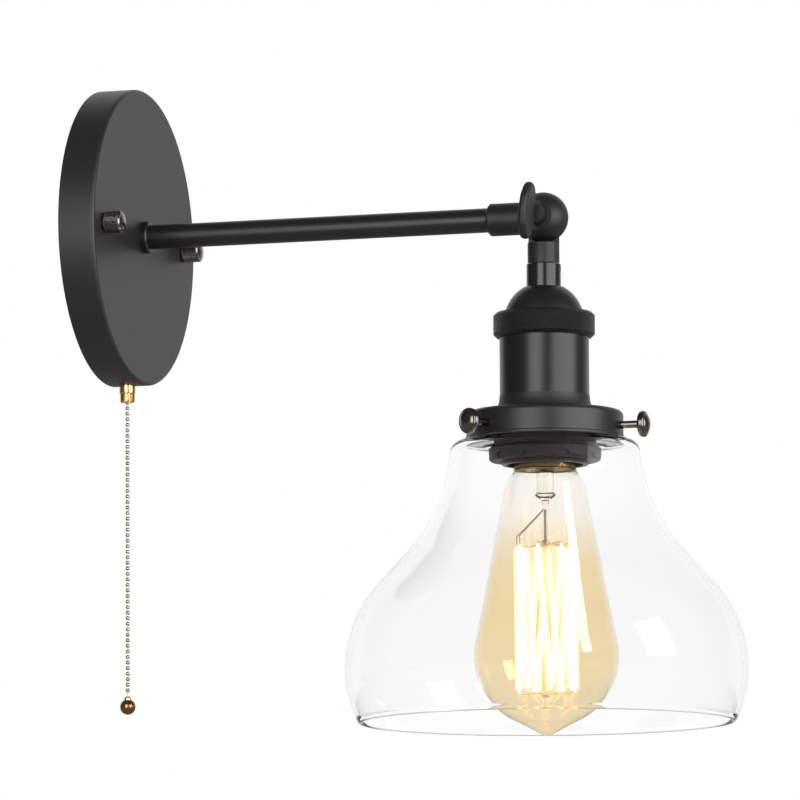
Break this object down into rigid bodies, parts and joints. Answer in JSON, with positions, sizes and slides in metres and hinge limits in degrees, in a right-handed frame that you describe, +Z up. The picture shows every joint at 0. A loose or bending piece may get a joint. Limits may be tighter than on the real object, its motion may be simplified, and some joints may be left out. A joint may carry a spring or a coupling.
{
  "type": "wall sconce",
  "caption": "Pull-chain wall sconce with a round canopy, a straight arm, a tilting knuckle and a clear bell glass shade over an exposed filament bulb.",
  "frame": {"origin": "centre of the canopy's back face, on the wall", "axes": "+Z is up, +Y points into the wall, the arm runs out along -Y, and the wing screw is on the -X side"},
  "size_m": [0.1596, 0.2633, 0.2666],
  "materials": {
    "satin_black": "satin black powder coat",
    "black_nickel": "polished black nickel plate",
    "zinc_steel": "bright zinc plate",
    "brass": "plain polished brass",
    "bronze": "antique bronze plate",
    "copper": "bare copper alloy strip",
    "green_steel": "green dyed zinc plate",
    "phenolic": "black moulded plastic",
    "fibre": "red-brown fibre sheet",
    "porcelain": "glazed white porcelain",
    "black_insulation": "black wire insulation",
    "white_insulation": "white wire insulation",
    "green_insulation": "green wire insulation",
    "orange_plastic": "moulded orange plastic",
    "clear_glass": "clear blown glass",
    "amber_glass": "thin amber-tinted glass",
    "filament_metal": "glowing coiled wire"
  },
  "bodies": {
    "wall_body": {"canopy": "satin_black", "mounting_bracket": "zinc_steel", "mounting_studs": "zinc_steel", "stud_nuts": "zinc_steel", "cap_nuts": "black_nickel", "ground_screw": "green_steel", "arm_lock_washer": "zinc_steel", "arm_lock_nut": "zinc_steel", "arm_collar": "satin_black", "arm_tube": "satin_black", "switch_case": "phenolic", "switch_cover": "phenolic", "switch_terminals": "brass", "switch_spring": "zinc_steel", "switch_nozzle": "brass", "nozzle_nut": "brass", "live_lead": "black_insulation", "switched_lead": "black_insulation", "neutral_lead": "white_insulation", "ground_lead": "green_insulation", "wire_connectors": "orange_plastic", "knuckle_arm_half": "satin_black", "friction_washer": "fibre", "wing_washer": "zinc_steel"},
    "switch_cam": {"switch_ratchet": "brass"},
    "pull": {"switch_plunger": "zinc_steel", "chain_tail": "zinc_steel"},
    "chain": {"pull_chain": "zinc_steel", "chain_connector": "brass", "chain_ball": "bronze"},
    "lamp": {"knuckle_lamp_half": "satin_black", "stem_coupling": "satin_black", "coupling_screw": "black_nickel", "threaded_nipple": "zinc_steel", "nipple_nut": "zinc_steel", "socket_cap": "satin_black", "knurled_ring": "satin_black", "socket_shell": "satin_black", "lampholder_base": "porcelain", "lampholder_skirt": "phenolic", "terminal_screws": "brass", "screw_shell": "brass", "centre_contact": "copper", "lamp_leads": "black_insulation", "flared_collar": "satin_black", "shade_holder": "satin_black", "ring_nut": "phenolic", "glass_shade": "clear_glass", "bulb_cap": "brass", "bulb_insulator": "phenolic", "bulb_contact": "zinc_steel", "bulb_glass": "amber_glass", "bulb_stem": "clear_glass", "filament_support": "zinc_steel", "filament": "filament_metal"},
    "wing": {"wing_screw": "satin_black"},
    "thumb_1": {"thumbscrew_1": "black_nickel"},
    "thumb_2": {"thumbscrew_2": "black_nickel"},
    "thumb_3": {"thumbscrew_3": "black_nickel"}
  },
  "joints": [
    {"name": "knuckle_tilt", "type": "hinge", "parent": "wall_body", "child": "lamp", "pos_m": [0, -0.1835, 0], "axis": [1, 0, 0], "range_deg": [-180, 8]},
    {"name": "wing_turn", "type": "hinge", "parent": "lamp", "child": "wing", "pos_m": [-0.009, -0.1835, 0], "axis": [1, 0, 0], "continuous": true},
    {"name": "switch_pull", "type": "slide", "parent": "wall_body", "child": "pull", "axis": [0, 0, -1], "range_m": [0, 0.009], "stiffness_N_per_m": 150, "springref_m": -0.004, "deforming": ["switch_spring"]},
    {"name": "chain_swing", "type": "hinge", "parent": "pull", "child": "chain", "pos_m": [0, -0.0074, -0.067], "axis": [0, 1, 0], "range_deg": [-60, 60]},
    {"name": "cam_turn", "type": "hinge", "parent": "wall_body", "child": "switch_cam", "pos_m": [0.0072, -0.0074, -0.0421], "axis": [0, 1, 0], "continuous": true},
    {"name": "thumb_1_turn", "type": "hinge", "parent": "lamp", "child": "thumb_1", "pos_m": [-0.00016, -0.2141, -0.08425], "axis": [-0.0052, -1, 0], "continuous": true},
    {"name": "thumb_2_turn", "type": "hinge", "parent": "lamp", "child": "thumb_2", "pos_m": [-0.02642, -0.16806, -0.08425], "axis": [-0.8634, 0.5045, 0], "continuous": true},
    {"name": "thumb_3_turn", "type": "hinge", "parent": "lamp", "child": "thumb_3", "pos_m": [0.02658, -0.16834, -0.08425], "axis": [0.8686, 0.4955, 0], "continuous": true}
  ]
}
